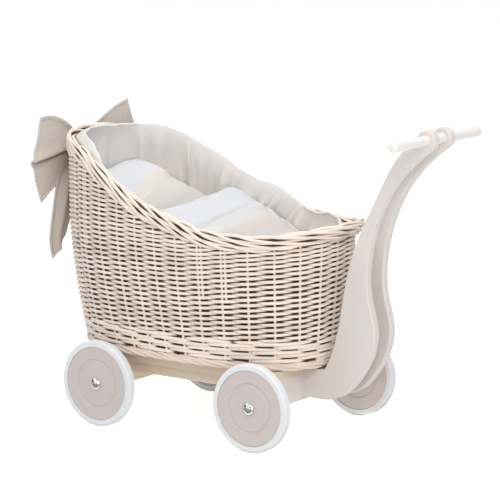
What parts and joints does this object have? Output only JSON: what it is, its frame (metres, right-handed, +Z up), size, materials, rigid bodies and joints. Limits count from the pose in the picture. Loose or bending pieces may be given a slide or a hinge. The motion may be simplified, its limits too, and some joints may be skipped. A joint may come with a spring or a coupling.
{
  "type": "doll stroller",
  "caption": "Doll stroller: oval wicker basket with a sloping rim, linen lining and bedding, on a low wooden chassis with ribbed-tyre wheels and a curved twin-board push handle.",
  "frame": {"origin": "on the floor, under the middle of the object's bounding box", "axes": "+Z up, +X towards the push handle (the stroller is pushed along -X), +Y to the right of the person pushing"},
  "size_m": [0.7293, 0.3302, 0.5055],
  "materials": {
    "painted_wood": "smooth satin paint, warm off-white",
    "wheel_paint": "satin paint, greige",
    "tyre_rubber": "matte white rubber",
    "steel": "zinc plated",
    "chrome": "polished",
    "willow": "peeled willow, whitewashed",
    "lining_linen": "greige linen",
    "piping_cotton": "white cotton cord",
    "bedding_cotton": "white cotton with greige panels",
    "bow_linen": "greige linen, hemmed"
  },
  "bodies": {
    "chassis": {"axle_caps": "chrome", "axle_washers": "steel", "base_board": "painted_wood", "base_screws": "steel", "basket_floor": "willow", "basket_foot_border": "willow", "basket_rim": "willow", "basket_screws": "steel", "basket_wall": "willow", "bow_knot": "bow_linen", "duvet": "bedding_cotton", "front_axle": "steel", "front_axle_beam": "painted_wood", "handle_screws": "steel", "handle_spacer": "painted_wood", "handlebar": "painted_wood", "left_bow_loop": "bow_linen", "left_bow_tail": "bow_linen", "left_handle_board": "painted_wood", "left_side_rail": "painted_wood", "liner": "lining_linen", "liner_piping": "piping_cotton", "mattress": "bedding_cotton", "pillow": "bedding_cotton", "rear_axle": "steel", "rear_axle_beam": "painted_wood", "right_bow_loop": "bow_linen", "right_bow_tail": "bow_linen", "right_handle_board": "painted_wood", "right_side_rail": "painted_wood"},
    "front_left_wheel": {"front_left_wheel_disc": "wheel_paint", "front_left_tyre": "tyre_rubber"},
    "front_right_wheel": {"front_right_wheel_disc": "wheel_paint", "front_right_tyre": "tyre_rubber"},
    "rear_left_wheel": {"rear_left_wheel_disc": "wheel_paint", "rear_left_tyre": "tyre_rubber"},
    "rear_right_wheel": {"rear_right_wheel_disc": "wheel_paint", "rear_right_tyre": "tyre_rubber"}
  },
  "joints": [
    {"name": "front_left_wheel_spin", "type": "hinge", "parent": "chassis", "child": "front_left_wheel", "pos_m": [-0.18785, -0.1518, 0.07], "axis": [0, 1, 0], "continuous": true},
    {"name": "front_right_wheel_spin", "type": "hinge", "parent": "chassis", "child": "front_right_wheel", "pos_m": [-0.18785, 0.1518, 0.07], "axis": [0, 1, 0], "continuous": true},
    {"name": "rear_left_wheel_spin", "type": "hinge", "parent": "chassis", "child": "rear_left_wheel", "pos_m": [0.11415, -0.1518, 0.07], "axis": [0, 1, 0], "continuous": true},
    {"name": "rear_right_wheel_spin", "type": "hinge", "parent": "chassis", "child": "rear_right_wheel", "pos_m": [0.11415, 0.1518, 0.07], "axis": [0, 1, 0], "continuous": true}
  ]
}
